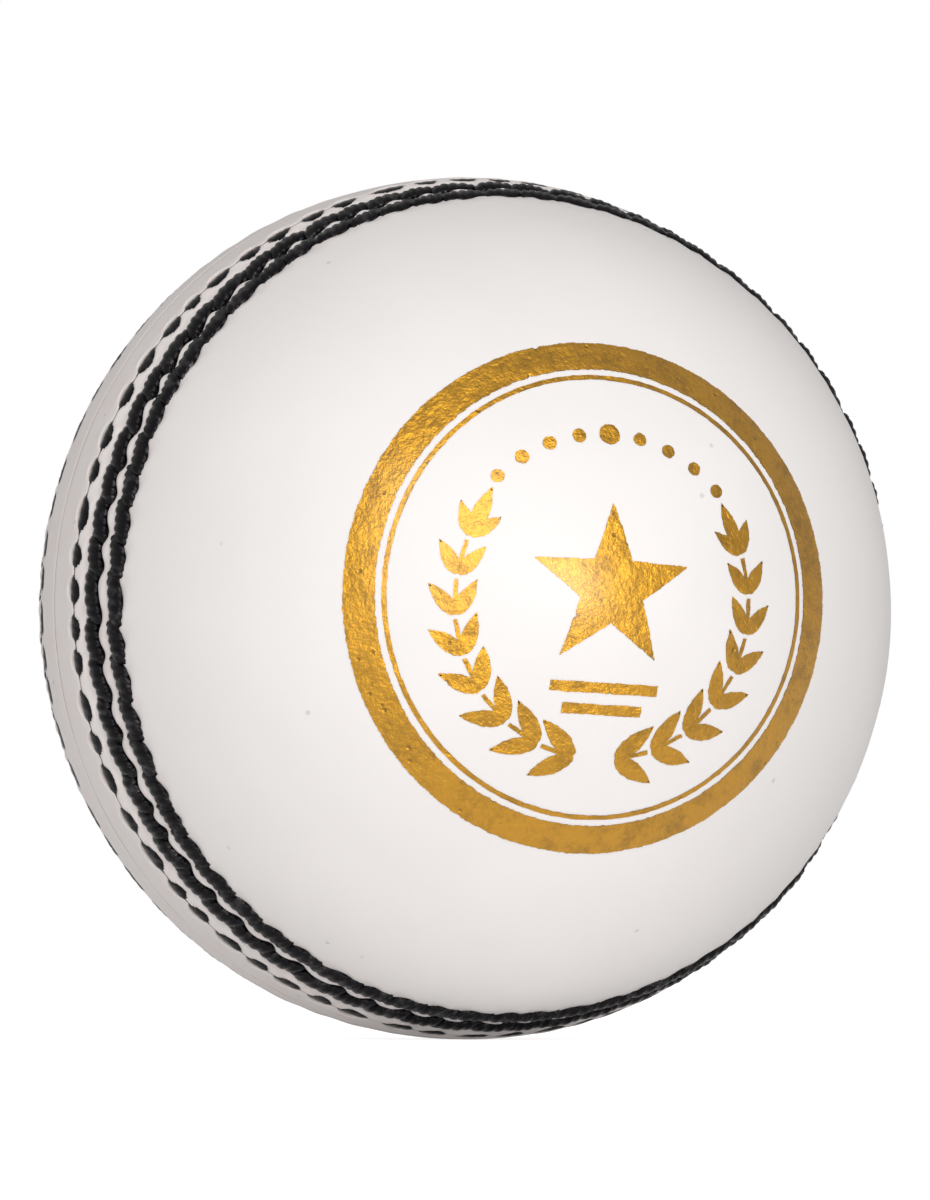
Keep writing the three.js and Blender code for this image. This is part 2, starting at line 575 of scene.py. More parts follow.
def foil_material(stamp):
    """Hot-stamped gold foil, crackled all over and broken away along its edges, with painted shade darkening
    the low parts of its creases.
    """
    material, tree, shader = new_material(
        "Gold stamp foil", metallic=1.0, coat_weight=1.0, coat_roughness=0.25
    )
    where = object_coordinates(tree)
    rim = add_node(tree, "ShaderNodeAttribute", attribute_name="rim").outputs["Fac"]
    grain = placed(
        tree,
        grain_group(),
        {"Vector": where, "Scale": 2600.0, "Pit Scale": 900.0, "Pit Share": 0.25},
    )
    ragged = noise_node(tree, where, 2300.0, 5.0, 0.7)
    patches = noise_node(tree, where, 260.0, 3.0, 0.6)
    hold = math_node(tree, "MULTIPLY_ADD", rim, 1.1, math_node(tree, "MULTIPLY_ADD", patches, 0.4, -0.2))
    kept = math_node(tree, "ADD", hold, math_node(tree, "MULTIPLY_ADD", ragged, 1.3, -0.65))
    flaked = math_node(tree, "MULTIPLY", grain.outputs["Pits"], 0.55)
    tree.links.new(ramp(tree, math_node(tree, "SUBTRACT", kept, flaked), 0.12, 0.22), shader.inputs["Alpha"])
    # Painted shade: the foil is darkened where the crease noise and the grain are low, the same noise that
    # sets its bump below.
    creases = noise_node(tree, where, 520.0, 5.0, 0.62)
    shaded_gold = opaque(Vector(stamp.color) * 0.62)
    wear_and_crease_shade = math_node(tree, "MULTIPLY_ADD", grain.outputs["Height"], 0.5, creases)
    tone = ramp(tree, wear_and_crease_shade, 0.55, 0.95)
    tree.links.new(mix_color(tree, tone, shaded_gold, opaque(stamp.color)), shader.inputs["Base Color"])
    rough = math_node(tree, "MULTIPLY_ADD", ragged, 0.3, 0.2)
    tree.links.new(rough, shader.inputs["Roughness"])
    height = math_node(tree, "MULTIPLY_ADD", creases, 4.0, grain.outputs["Height"])
    bump(tree, height, 0.08 * MM, 1.0, shader)
    return material


def yarn_material(core):
    """Undyed wool worsted."""
    material, tree, shader = new_material("Wound wool yarn", roughness=0.85, sheen_weight=0.25)
    where = object_coordinates(tree)
    twist = add_node(tree, "ShaderNodeAttribute", attribute_name="twist").outputs["Vector"]
    fibres = placed(tree, fibre_group(), {"Vector": where, "Twist": twist, "Fibres": 7.0})
    dark = opaque(Vector(core.yarn_color) * 0.6)
    tone = math_node(tree, "MULTIPLY", fibres.outputs["Wear"], 0.7)
    tree.links.new(mix_color(tree, tone, opaque(core.yarn_color), dark), shader.inputs["Base Color"])
    bump(tree, fibres.outputs["Height"], 0.2 * MM, 0.6, shader)
    return material


def cork_material(name, color, speck_scale):
    """Cork: soft cells, dark pores and lighter flecks."""
    material, tree, shader = new_material(name, roughness=0.82)
    where = object_coordinates(tree)
    grain = placed(
        tree,
        grain_group(),
        {"Vector": where, "Scale": 1100.0, "Pit Scale": speck_scale, "Pit Share": 0.2},
    )
    tone = ramp(tree, grain.outputs["Cloud"], 0.35, 0.7)
    body = mix_color(tree, tone, opaque(Vector(color) * 0.72), opaque(Vector(color) * 1.2))
    pored = mix_color(tree, grain.outputs["Pits"], body, opaque(Vector(color) * 0.22))
    tree.links.new(pored, shader.inputs["Base Color"])
    bump(tree, grain.outputs["Height"], 0.25 * MM, 0.6, shader)
    return material


# ---------------------------------------------------------------- mesh helpers
def as_mesh(name, bm):
    """A mesh from a bmesh, which is used up."""
    mesh = bpy.data.meshes.new(name)
    bm.to_mesh(mesh)
    bm.free()
    return mesh


def new_piece(name, mesh, material, nodes=()):
    """An object from a mesh, smooth shaded, riding on the ball and standing for its CAD nodes."""
    mesh.shade_smooth()
    mesh.materials.append(material)
    piece = bpy.data.objects.new(name, mesh)
    bpy.context.scene.collection.objects.link(piece)
    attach(piece, "root")
    if nodes:
        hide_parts(*nodes)
    return piece


def coordinates(mesh):
    """The places of a mesh's points, one row each."""
    flat = np.empty(len(mesh.vertices) * 3)
    mesh.vertices.foreach_get("co", flat)
    return flat.reshape(-1, 3)


def set_coordinates(mesh, points):
    """Moves a mesh's points to new places."""
    mesh.vertices.foreach_set("co", points.ravel())
    mesh.update()


def set_attribute(mesh, name, values):
    """A number, or a vector, for each point of a mesh."""
    vector = values.ndim == 2
    layer = mesh.attributes.new(name, "FLOAT_VECTOR" if vector else "FLOAT", "POINT")
    layer.data.foreach_set("vector" if vector else "value", values.ravel())


def smoothstep(low, high, value):
    """A smooth rise from nought at low to one at high, for arrays."""
    share = np.clip((value - low) / (high - low), 0, 1)
    return share * share * (3 - 2 * share)


def hump(distance, width):
    """One at no distance, falling away smoothly over a width."""
    return np.exp(-((distance / width) ** 2))


def face_back(mesh):
    """Turns a piece that was made for the front cup to the back cup."""
    mesh.transform(Matrix.Rotation(math.pi, 4, "X"))


# ---------------------------------------------------------------- the rows of stitches
# The stitches are spaced a little unevenly, and the rows wander. Each is a sum of waves around the ball:
# (times around, share of a stitch) and (times around, metres).
SPACING_WAVES = ((17, 0.06), (29, 0.07), (7, 0.12))
WANDER_WAVES = ((5, 0.07 * MM), (11, 0.05 * MM), (23, 0.03 * MM))
ROW_START = {"inner": 0.35, "middle": 0.12, "outer": 0.0}
ROW_SEED = {"inner": 1.3, "middle": 2.6, "outer": 2.6}
ROW_BOW = {"inner": 0.0, "middle": -0.29 * MM, "outer": 0.29 * MM}
CUP_SEED = {"front": 0.0, "back": 0.9}

# Each row strays towards its pole in one place: at this angle, this far, and this wide to each side.
STRAY_ANGLE = {"inner": 2.15, "middle": 2.3, "outer": 3.2}
STRAY_REACH = {"inner": 0.4 * MM, "middle": 0.42 * MM, "outer": 0.3 * MM}
STRAY_WIDTH = 0.42

PRESSED_BACK = 0.42 * MM
PRESSED_FRONT = 0.36 * MM
PRESSED_TURN = 0.2  # how far below level the pressed side of the front cup lies
SHOULDER = 2.4 * MM  # from the inner row to where the leather is at the ball's own radius again


def waves(table, angle, seed):
    """The sum of a table's waves at an angle around the ball."""
    return sum(size * np.sin(times * angle + seed * times) for times, size in table)


def stitch_count(angle, cup, row, stitches):
    """Stitches passed on the way round a row: a whole number at the middle of each stitch."""
    seed = ROW_SEED[row] + CUP_SEED[cup]
    return stitches * angle / FULL_TURN + ROW_START[row] + waves(SPACING_WAVES, angle, seed)


def row_wander(angle, cup, row):
    """How far a row strays towards the pole from its true circle."""
    away = np.mod(angle - STRAY_ANGLE[row], FULL_TURN)
    away = np.minimum(away, FULL_TURN - away)
    stray = STRAY_REACH[row] * hump(away, STRAY_WIDTH)
    return stray + waves(WANDER_WAVES, angle, ROW_SEED[row] * 2 + CUP_SEED[cup])


def pressed(angle, cup):
    """How far the press has sunk the proud rows: more on the back cup and on one side of the ball."""
    if cup == "back":
        return PRESSED_BACK
    return PRESSED_FRONT * smoothstep(0.84, 0.96, np.cos(angle + PRESSED_TURN))


def cover_rise(latitude):
    """How far the leather stands above the ball's smooth surface, in the ridge along the joint."""
    foot = ROW_LATITUDE["inner"] + SHOULDER / BALL_RADIUS
    return SEAM_RISE * (1 - smoothstep(ROW_LATITUDE["inner"], foot, latitude))


# ---------------------------------------------------------------- cover
STEPS_PER_STITCH = 16
RIM_GAP = 0.02 * MM  # from each cup's rim to the middle of the joint
BORE_STEPS = 9
LUMP_SCALE = 160  # waves per metre of the leather's unevenness


class Relief:
    """The leather's height around the stitches, on one cup. Sizes are in metres, and the lean in radians."""

    JOINT_DEPTH = 0.05 * MM
    JOINT_WIDTH = 0.2 * MM
    CREASE_DEPTH = 0.16 * MM
    CREASE_WIDTH = 0.12 * MM
    LIP_HEIGHT = 0.07 * MM
    LIP_WIDTH = 0.34 * MM
    SLOT_DEPTH = 0.7 * MM
    SLOT_EDGE = 0.12 * MM
    CHANNEL_DEPTH = 0.5 * MM
    CHANNEL_WIDTH = 0.85 * MM
    DIP_DEPTH = 0.16 * MM
    DIP_WIDTH = 1.3 * MM
    PUCKER_HEIGHT = 0.1 * MM
    PUCKER_WIDTH = 0.5 * MM
    PUCKER_REACH = 1.42 * MM
    PUCKER_LEAN = 1.4
    SLOT_SLANT = 0.16 * MM
    # Width of the painted shade along each proud row's channel.
    CHANNEL_SHADE_WIDTH = 0.75 * MM

    def __init__(self, cup, seam):
        self.cup = cup
        self.seam = seam
        self.pitch = FULL_TURN * BALL_RADIUS / seam.stitches

    def across(self, row, latitude, angle):
        """Distance from a row's line, positive towards the pole."""
        return (latitude - ROW_LATITUDE[row]) * BALL_RADIUS - row_wander(angle, self.cup, row)

    def phase(self, row, angle):
        """Angle through a row's pattern: nought at the middle of a stitch, a full turn at the next."""
        return FULL_TURN * stitch_count(angle, self.cup, row, self.seam.stitches)

    def slot(self, latitude, angle):
        """One inside the openings of the sunk row, and nought outside."""
        phase = self.phase("inner", angle) + math.pi
        along = (phase % FULL_TURN - math.pi) / FULL_TURN * self.pitch / (self.seam.slot_length / 2)
        half = self.seam.slot_width / 2 * (1 - np.abs(along) ** 2.3)
        slanted = self.across("inner", latitude, angle) - self.SLOT_SLANT * along
        inside = half - np.abs(slanted)
        return smoothstep(-self.SLOT_EDGE / 2, self.SLOT_EDGE / 2, inside)

    def sunk_row(self, latitude, angle):
        """The lips, crease and slots of the row next to the joint."""
        away = np.abs(self.across("inner", latitude, angle))
        swell = 0.6 + 0.4 * np.cos(self.phase("inner", angle))
        lip = self.LIP_HEIGHT * swell * hump(away - self.seam.slot_width * 0.62, self.LIP_WIDTH)
        crease = self.CREASE_DEPTH * hump(away, self.CREASE_WIDTH)
        return lip - crease - self.SLOT_DEPTH * self.slot(latitude, angle)

    def proud_row(self, row, latitude, angle):
        """The channel that a proud row lies in, and the puckers beside it."""
        away = self.across(row, latitude, angle)
        phase = self.phase(row, angle)
        follow = away - self.seam.slant * 0.5 * np.sin(phase) - ROW_BOW[row] * np.cos(phase)
        channel = -self.CHANNEL_DEPTH * np.exp(-((follow / self.CHANNEL_WIDTH) ** 4))
        channel -= self.DIP_DEPTH * np.exp(-((follow / self.DIP_WIDTH) ** 4))
        beside = hump(np.abs(away) - self.PUCKER_REACH, self.PUCKER_WIDTH)
        pucker = self.PUCKER_HEIGHT * beside * np.cos(phase - self.PUCKER_LEAN * np.sign(away))
        return channel + pucker

    def height(self, latitude, angle):
        """How far the leather stands above the ball's smooth surface."""
        total = cover_rise(latitude) - self.JOINT_DEPTH * hump(latitude * BALL_RADIUS, self.JOINT_WIDTH)
        total += self.sunk_row(latitude, angle)
        total += self.proud_row("middle", latitude, angle) + self.proud_row("outer", latitude, angle)
        return total

    def tightness(self, latitude, angle):
        """Where the leather is drawn tight: between the rows and just beyond the outer one."""
        beyond = (latitude - ROW_LATITUDE["outer"]) * BALL_RADIUS
        return (1 - smoothstep(0.6 * MM, 3.0 * MM, beyond)) * 0.75

    def depth_mask(self, latitude, angle):
        """Where the leather is darkened: painted shade in the slots, crease and channels, and a dark line
        along the joint.
        """
        away = np.abs(self.across("inner", latitude, angle))
        crease = 0.75 * hump(away, self.CREASE_WIDTH * 0.8)
        channels = sum(
            0.9 * np.exp(-((self.across(row, latitude, angle) / self.CHANNEL_SHADE_WIDTH) ** 4))
            for row in ("middle", "outer")
        )
        joint = 0.5 * hump(latitude * BALL_RADIUS, 0.1 * MM)
        return np.clip(self.slot(latitude, angle) + crease + channels + joint, 0, 1)


def cover_rings():
    """Distances from the joint, along the leather, of the rings of a cup, closest at the stitches."""
    row = {name: ROW_LATITUDE[name] * BALL_RADIUS / MM for name in ROWS}
    end = math.pi / 2 * BALL_RADIUS / MM
    zones = (
        (0.5, 0.16),
        (row["inner"] - 1.1, 0.5),
        (row["inner"] + 1.1, 0.11),
        (row["outer"] + 1.4, 0.22),
        (row["outer"] + 3.5, 0.5),
        (end, 2.4),
    )
    distances = [0.22]
    for stop, spacing in zones:
        count = max(1, round((stop - distances[-1]) / spacing))
        distances += list(np.linspace(distances[-1], stop, count + 1)[1:])
    return [distance * MM for distance in distances]


def turned(profile, sectors, steps):
    """A bmesh turned about Y from a bmesh of edges in the XY plane: one sector spun, then set all round."""
    angle = FULL_TURN / sectors
    bmesh.ops.spin(
        profile,
        geom=profile.verts[:] + profile.edges[:],
        cent=(0, 0, 0),
        axis=(0, 1, 0),
        angle=angle,
        steps=steps,
        use_merge=False,
    )
    sector = as_mesh("sector", profile)
    whole = bmesh.new()
    for _ in range(sectors):
        whole.from_mesh(sector)
        sector.transform(Matrix.Rotation(angle, 4, "Y"))
    bpy.data.meshes.remove(sector)
    bmesh.ops.remove_doubles(whole, verts=whole.verts, dist=0.002 * MM)
    bmesh.ops.recalc_face_normals(whole, faces=whole.faces)
    return whole


def chain(points):
    """A bmesh of edges through (radius, height) points in the XY plane."""
    bm = bmesh.new()
    verts = [bm.verts.new((radius, height, 0)) for radius, height in points]
    for pair in zip(verts, verts[1:]):
        bm.edges.new(pair)
    return bm


def cup_mesh(cup, cover, seam):
    """A cup with its pole at -Y: the spun shell, with the seam's relief pressed into its outside."""
    lip = cover.lip_round
    outer = [
        (BALL_RADIUS * math.cos(d / BALL_RADIUS), -BALL_RADIUS * math.sin(d / BALL_RADIUS))
        for d in reversed(cover_rings())
    ]
    outer[0] = (0.0, outer[0][1])
    lip_top = BALL_RADIUS - lip
    rim = [
        (lip_top + lip * math.cos(a), -RIM_GAP - lip * (1 - math.sin(a)))
        for a in (math.pi / 4, math.pi / 2)
    ]
    bore = CORE_RADIUS + cover.bore_gap
    inner = [
        (bore * math.cos(a), -RIM_GAP - bore * math.sin(a))
        for a in (i / BORE_STEPS * math.pi / 2 for i in range(BORE_STEPS + 1))
    ]
    inner[-1] = (0.0, inner[-1][1])
    shell = turned(chain(outer + rim + inner), seam.stitches, STEPS_PER_STITCH)
    mesh = as_mesh(f"leather_cup_{cup}", shell)

    points = coordinates(mesh)
    distance = np.linalg.norm(points, axis=1)
    latitude = np.arcsin(np.clip(-points[:, 1] / distance, -1, 1))
    angle = np.arctan2(points[:, 2], points[:, 0])
    outside = smoothstep(bore + 0.3 * MM, BALL_RADIUS - lip, distance)
    relief = Relief(cup, seam)
    height = relief.height(latitude, angle)
    lumps = np.array([noise.noise(Vector(p) * LUMP_SCALE) for p in points])
    near = 1 - smoothstep(12 * MM, 20 * MM, latitude * BALL_RADIUS)
    height += lumps * cover.unevenness * (0.35 + 0.65 * near)
    points *= (1 + outside * height / distance)[:, None]
    set_coordinates(mesh, points)
    set_attribute(mesh, "tight", relief.tightness(latitude, angle) * outside)
    set_attribute(mesh, "deep", relief.depth_mask(latitude, angle) * outside)
    return mesh


class BALL_OT_cover(bpy.types.Operator):
    """Adds the two leather cups with the seam's lips, slots, channels and puckers"""

    bl_idname = "ball.add_cover"
    bl_label = "Leather Cups"

    def execute(self, context):
        cover = context.scene.ball_cover
        material = leather_material(cover)
        for cup in CUPS:
            mesh = cup_mesh(cup, cover, context.scene.ball_seam)
            if cup == "back":
                face_back(mesh)
            new_piece(f"leather_cup_{cup}", mesh, material, [f"cover_cup_{cup}"])
        return {"FINISHED"}


# ---------------------------------------------------------------- seam threads
THREAD_SIDES = 15
SECTIONS_PER_STITCH = 44
CROWDING = 0.6  # how far a stitch's sections are drawn together on the part that shows
PLIES = 3
PLY_TURNS = 4  # whole turns of the twist in one stitch
LOOP_DEPTH = 1.5 * MM  # how far the thread goes down through the leather between stitches
END_LIFT = 0.12 * MM  # how far a stitch rises towards the end that lies over the next stitch
SUNK_TOP = 0.03 * MM  # how far the top of the sunk row's thread stands above the plain leather
PLY_RELIEF = {"inner": 0.07, "middle": 0.22, "outer": 0.22}  # depth of the grooves between plies
END_TAPER = 0.22  # how much thinner a stitch is where it goes into the leather


def thread_path(angle, cup, row, seam, sink):
    """Points on a thread's centre line, for angles around the seam.

    Each stitch is one turn of a stretched coil: forwards on top of the leather, down through it, and a
    little way back below.
    """
    tau = FULL_TURN * stitch_count(angle, cup, row, seam.stitches)
    turn = tau - CROWDING * np.sin(tau)
    ring = BALL_RADIUS * math.cos(ROW_LATITUDE[row])
    place = angle - CROWDING * np.sin(tau) / seam.stitches + seam.overlap / ring * np.sin(turn)
    slant = 0.0 if row == "inner" else seam.slant
    across = slant * np.sin(turn) + ROW_BOW[row] * np.cos(turn) + row_wander(place, cup, row)
    latitude = ROW_LATITUDE[row] + across / BALL_RADIUS
    lift = -sink - LOOP_DEPTH * np.sin(turn / 2) ** 4
    if row != "inner":
        lift += END_LIFT * np.sin(turn) - pressed(angle, cup)
    radius = BALL_RADIUS + cover_rise(latitude) + lift
    flat = radius * np.cos(latitude)
    points = np.stack([flat * np.cos(place), -radius * np.sin(latitude), flat * np.sin(place)], axis=1)
    return points, turn, latitude, place


def thread_mesh(cup, row, seam, sink):
    """One row's thread, three plies twisted, for the cup whose pole is at -Y."""
    wide = seam.thread_width / 2
    high = seam.thread_height / 2
    ring = BALL_RADIUS * math.cos(ROW_LATITUDE[row])
    bm = bmesh.new()
    bmesh.ops.create_circle(bm, segments=THREAD_SIDES, radius=high)
    bmesh.ops.translate(bm, verts=bm.verts, vec=(ring, 0, 0))
    mesh = as_mesh(f"seam_thread_{cup}_{row}", turned(bm, seam.stitches, SECTIONS_PER_STITCH))

    points = coordinates(mesh)
    angle = np.arctan2(points[:, 2], points[:, 0])
    around = np.arctan2(points[:, 1], np.hypot(points[:, 0], points[:, 2]) - ring)
    step = 1e-4
    centre, turn, latitude, place = thread_path(angle, cup, row, seam, sink)
    ahead = thread_path(angle + step, cup, row, seam, sink)[0]
    behind = thread_path(angle - step, cup, row, seam, sink)[0]
    tangent = ahead - behind
    tangent /= np.linalg.norm(tangent, axis=1)[:, None]
    steep = -np.sin(latitude)
    side = np.stack([steep * np.cos(place), -np.cos(latitude), steep * np.sin(place)], axis=1)
    side -= tangent * np.sum(side * tangent, axis=1)[:, None]
    side /= np.linalg.norm(side, axis=1)[:, None]
    up = np.cross(tangent, side)
    twist = around + PLY_TURNS * turn
    ply = np.abs(np.cos(PLIES / 2 * around))
    taper = 1 - END_TAPER * np.sin(turn / 2) ** 2
    reach = (1.01 - PLY_RELIEF[row] * (1 - ply)) * taper
    upward = (reach * high * np.cos(twist))[:, None] * up
    sideways = (reach * wide * np.sin(twist))[:, None] * side
    set_coordinates(mesh, centre + upward + sideways)
    lengthwise = turn / FULL_TURN * 0.6
    set_attribute(mesh, "twist", np.stack([np.cos(around), np.sin(around), lengthwise], axis=1))
    return mesh


class BALL_OT_threads(bpy.types.Operator):
    """Adds the six rows of seam thread, each one long twisted thread"""

    bl_idname = "ball.add_threads"
    bl_label = "Seam Threads"

    def execute(self, context):
        seam = context.scene.ball_seam
        material = thread_material(seam)
        for cup in CUPS:
            for row in ROWS:
                sink = seam.thread_height / 2 - SUNK_TOP if row == "inner" else seam.sink
                mesh = thread_mesh(cup, row, seam, sink)
                if cup == "back":
                    face_back(mesh)
                name = f"seam_thread_{cup}_{row}"
                new_piece(name, mesh, material, [f"thread_{cup}_{row}"])
        return {"FINISHED"}


# ---------------------------------------------------------------- foil stamp
FACET = 0.9 * MM  # longest edge of the foil's facets
EDGE_WAVES = 2400  # waves per metre of the foil's uneven edge
EDGE_REACH = 0.07 * MM
SPRIG_RADIUS = 13.0 * MM
SPRIG_DROP = 0.6 * MM  # from the stamp's middle to the middle of the sprigs' arc
SPRIG_FOOT = -82  # degrees from level, as are the next two
SPRIG_SWEEP = 104
SPRIG_TIP = 24
LEAF_PAIRS = 8
LEAF_LEAN = 0.62
BEAD_RADIUS = 13.6 * MM  # of the arc that the beads lie on
BEAD_STEP = 0.2


def on_leather(x, z, turn):
    """A place on the front of the ball, from distances along the leather to the right and up."""
    right = x * math.cos(turn) + z * math.sin(turn)
    up = z * math.cos(turn) - x * math.sin(turn)
    reach = math.hypot(right, up)
    if reach == 0:
        return Vector((0, -BALL_RADIUS, 0))
    bend = reach / BALL_RADIUS
    return BALL_RADIUS * Vector((
        math.sin(bend) * right / reach,
        -math.cos(bend),
        math.sin(bend) * up / reach,
    ))


def flat_band(inner, outer, segments):
    """A flat ring in the XY plane."""
    bm = bmesh.new()
    bmesh.ops.create_circle(bm, segments=segments, radius=inner)
    grown = bmesh.ops.extrude_edge_only(bm, edges=bm.edges[:])
    rim = [item for item in grown["geom"] if isinstance(item, bmesh.types.BMVert)]
    bmesh.ops.scale(bm, verts=rim, vec=(outer / inner, outer / inner, 1))
    return bm


def flat_star(outer, inner, points):
    """A flat star in the XY plane, one point up."""
    bm = bmesh.new()
    bmesh.ops.create_circle(bm, segments=points * 2, radius=outer)
    bm.verts.ensure_lookup_table()
    hollow = [v for i, v in enumerate(bm.verts) if i % 2]
    bmesh.ops.scale(bm, verts=hollow, vec=(inner / outer, inner / outer, 1))
    bmesh.ops.contextual_create(bm, geom=bm.edges[:])
    return bm


def flat_leaf(length, width, segments=16):
    """A flat pointed leaf in the XY plane, from the origin along +Y."""
    bm = bmesh.new()
    bmesh.ops.create_circle(bm, cap_ends=True, segments=segments, radius=1)
    for vert in bm.verts:
        share = (vert.co.y + 1) / 2
        vert.co.x *= width / 2 * (1 - 0.75 * share ** 3)
        vert.co.y = share * length
    return bm


def flat_bar(length, height):
    """A flat bar in the XY plane."""
    bm = bmesh.new()
    bmesh.ops.create_grid(bm, x_segments=1, y_segments=1, size=0.5)
    bmesh.ops.scale(bm, verts=bm.verts, vec=(length, height, 1))
    return bm


def flat_dot(radius):
    """A flat disc in the XY plane."""
    bm = bmesh.new()
    bmesh.ops.create_circle(bm, cap_ends=True, segments=14, radius=radius)
    return bm


def pressed_on(bm, stamp, rim_width, facet=FACET):
    """Gives a flat shape its rim, cuts it fine enough to follow the ball, and presses it on."""
    rim = bm.verts.layers.float.new("rim")
    bmesh.ops.inset_region(
        bm, faces=bm.faces[:], thickness=rim_width, use_even_offset=True, use_boundary=True
    )
    for vert in bm.verts:
        vert[rim] = 0.0 if vert.is_boundary else 1.0
    for _ in range(4):
        long_edges = [edge for edge in bm.edges if edge.calc_length() > facet]
        if not long_edges:
            break
        bmesh.ops.triangulate(bm, faces=[face for face in bm.faces if len(face.verts) > 4])
        bmesh.ops.subdivide_edges(bm, edges=long_edges, cuts=1, use_grid_fill=True)
    bmesh.ops.triangulate(bm, faces=[face for face in bm.faces if len(face.verts) > 4])
    for vert in bm.verts:
        flat = Vector(vert.co)
        if vert.is_boundary:
            flat.x += noise.noise(flat * EDGE_WAVES) * EDGE_REACH
            flat.y += noise.noise(flat * EDGE_WAVES + Vector((17, 0, 0))) * EDGE_REACH
        vert.co = on_leather(flat.x, flat.y, stamp.turn)
    grown = bmesh.ops.extrude_face_region(bm, geom=bm.faces[:], use_keep_orig=True)
    for vert in (item for item in grown["geom"] if isinstance(item, bmesh.types.BMVert)):
        vert.co *= 1 + stamp.thickness / BALL_RADIUS
    bmesh.ops.recalc_face_normals(bm, faces=bm.faces)
    return bm


def merged(parts):
    """Several bmeshes as one."""
    whole = bmesh.new()
    for part in parts:
        mesh = bpy.data.meshes.new("part")
        part.to_mesh(mesh)
        part.free()
        whole.from_mesh(mesh)
        bpy.data.meshes.remove(mesh)
    return whole


def moved(bm, x, y, turn=0.0):
    """A flat shape turned about the origin and then set down at a place."""
    bmesh.ops.rotate(bm, verts=bm.verts, cent=(0, 0, 0), matrix=Matrix.Rotation(turn, 3, "Z"))
    bmesh.ops.translate(bm, verts=bm.verts, vec=(x, y, 0))
    return bm


def on_arc(side, angle):
    """A place on a sprig's arc, at an angle up from level."""
    return side * SPRIG_RADIUS * math.cos(angle), SPRIG_RADIUS * math.sin(angle) - SPRIG_DROP


def sprig(side, stamp):
    """One laurel sprig: leaves in pairs along an arc, from the foot of the stamp up its side."""
    step = math.radians(SPRIG_SWEEP / (LEAF_PAIRS - 1))
    leaves = []
    for i in range(LEAF_PAIRS):
        angle = math.radians(SPRIG_FOOT + SPRIG_SWEEP * i / (LEAF_PAIRS - 1))
        for lean in (-LEAF_LEAN, LEAF_LEAN):
            leaf = flat_leaf((4.3 - 0.16 * i) * MM, (1.75 - 0.05 * i) * MM)
            leaves.append(moved(leaf, *on_arc(side, angle), side * angle + lean))
        if i < LEAF_PAIRS - 1:
            middle = angle + step / 2
            stem = flat_bar(0.42 * MM, SPRIG_RADIUS * step * 0.8)
            leaves.append(moved(stem, *on_arc(side, middle), side * middle))
    tip = math.radians(SPRIG_TIP)
    leaves.append(moved(flat_leaf(4.2 * MM, 1.6 * MM), *on_arc(side, tip), side * tip))
    return merged([pressed_on(leaf, stamp, 0.22 * MM) for leaf in leaves])


def beads(stamp):
    """A row of beads over the star, the middle one larger."""
    parts = []
    for i in range(-4, 5):
        bead = flat_dot((0.95 if i == 0 else 0.62) * MM)
        place = i * BEAD_STEP
        moved(bead, BEAD_RADIUS * math.sin(place), BEAD_RADIUS * math.cos(place))
        parts.append(pressed_on(bead, stamp, 0.18 * MM))
    return merged(parts)


def bars(stamp):
    """Two bars under the star, the lower one shorter."""
    parts = []
    for length, height in ((9.5, -7.6), (7.0, -9.4)):
        bar = moved(flat_bar(length * MM, 0.95 * MM), 0, height * MM)
        parts.append(pressed_on(bar, stamp, 0.2 * MM))
    return merged(parts)


class BALL_OT_stamp(bpy.types.Operator):
    """Adds the gold foil stamp on the front cup: a border, a star, two sprigs, beads and bars"""

    bl_idname = "ball.add_stamp"
    bl_label = "Foil Stamp"

    def execute(self, context):
        stamp = context.scene.ball_stamp
        material = foil_material(stamp)
        inner = stamp.radius - stamp.stroke
        border = flat_band(inner, stamp.radius, 240)
        hairline = flat_band(inner - 0.95 * MM, inner - 0.5 * MM, 220)
        star = moved(flat_star(7.2 * MM, 2.9 * MM, 5), 0, 0.6 * MM)
        shapes = {
            "foil_border": pressed_on(border, stamp, 0.35 * MM),
            "foil_hairline": pressed_on(hairline, stamp, 0.1 * MM),
            "foil_star": pressed_on(star, stamp, 0.3 * MM, 0.8 * MM),
            "foil_sprig_left": sprig(-1, stamp),
            "foil_sprig_right": sprig(1, stamp),
            "foil_beads": beads(stamp),
            "foil_bars": bars(stamp),
        }
        for name, bm in shapes.items():
            mesh = as_mesh(name, bm)
            new_piece(name, mesh, material)
            mesh.set_sharp_from_angle(angle=math.radians(35))
        return {"FINISHED"}


# ---------------------------------------------------------------- core
def radii(node):
    """Outer and inner radius of a wound layer or a layer of cork, from the frame's own piece."""
    reach = np.linalg.norm(coordinates(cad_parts[node].data), axis=1)
    return reach.max(), reach.min()


def flat_arc(radius, low, high, steps):
    """Points (radius, height) on an arc in the XY plane, between two latitudes."""
    return [(radius * math.cos(a), radius * math.sin(a)) for a in np.linspace(low, high, steps + 1)]


def winding_mesh(layer, core):
    """A shell of yarn, open at its front pole, under turns of yarn wound all ways round it."""
    outer, inner = radii(f"yarn_winding_{layer}")
    half = core.yarn_diameter / 2
    opening = core.opening / outer - math.pi / 2
    base = outer - half
    outline = flat_arc(inner, opening, math.pi / 2, 24) + flat_arc(base, math.pi / 2, opening, 32)
    whole = turned(chain(outline + outline[:1]), 4, 16)
    circle = bmesh.new()
    bmesh.ops.create_circle(circle, segments=7, radius=half)
    bmesh.ops.translate(circle, verts=circle.verts, vec=(outer - half, 0, 0))
    ring = as_mesh("ring", turned(circle, 4, 12))
    chance = random.Random(7)
    for _ in range(core.turns):
        axis = Vector((chance.gauss(0, 1), chance.gauss(0, 1), chance.gauss(0, 1))).normalized()
        if abs(axis.y) * outer < core.opening + half:
            continue
        spun = ring.copy()
        spun.transform(Matrix.Scale(1 - chance.uniform(0.0, 0.35) * half / outer, 4))
        spun.transform(Vector((0, 1, 0)).rotation_difference(axis).to_matrix().to_4x4())
        whole.from_mesh(spun)
        bpy.data.meshes.remove(spun)
    bpy.data.meshes.remove(ring)
    return as_mesh(f"wound_yarn_{layer}", whole)


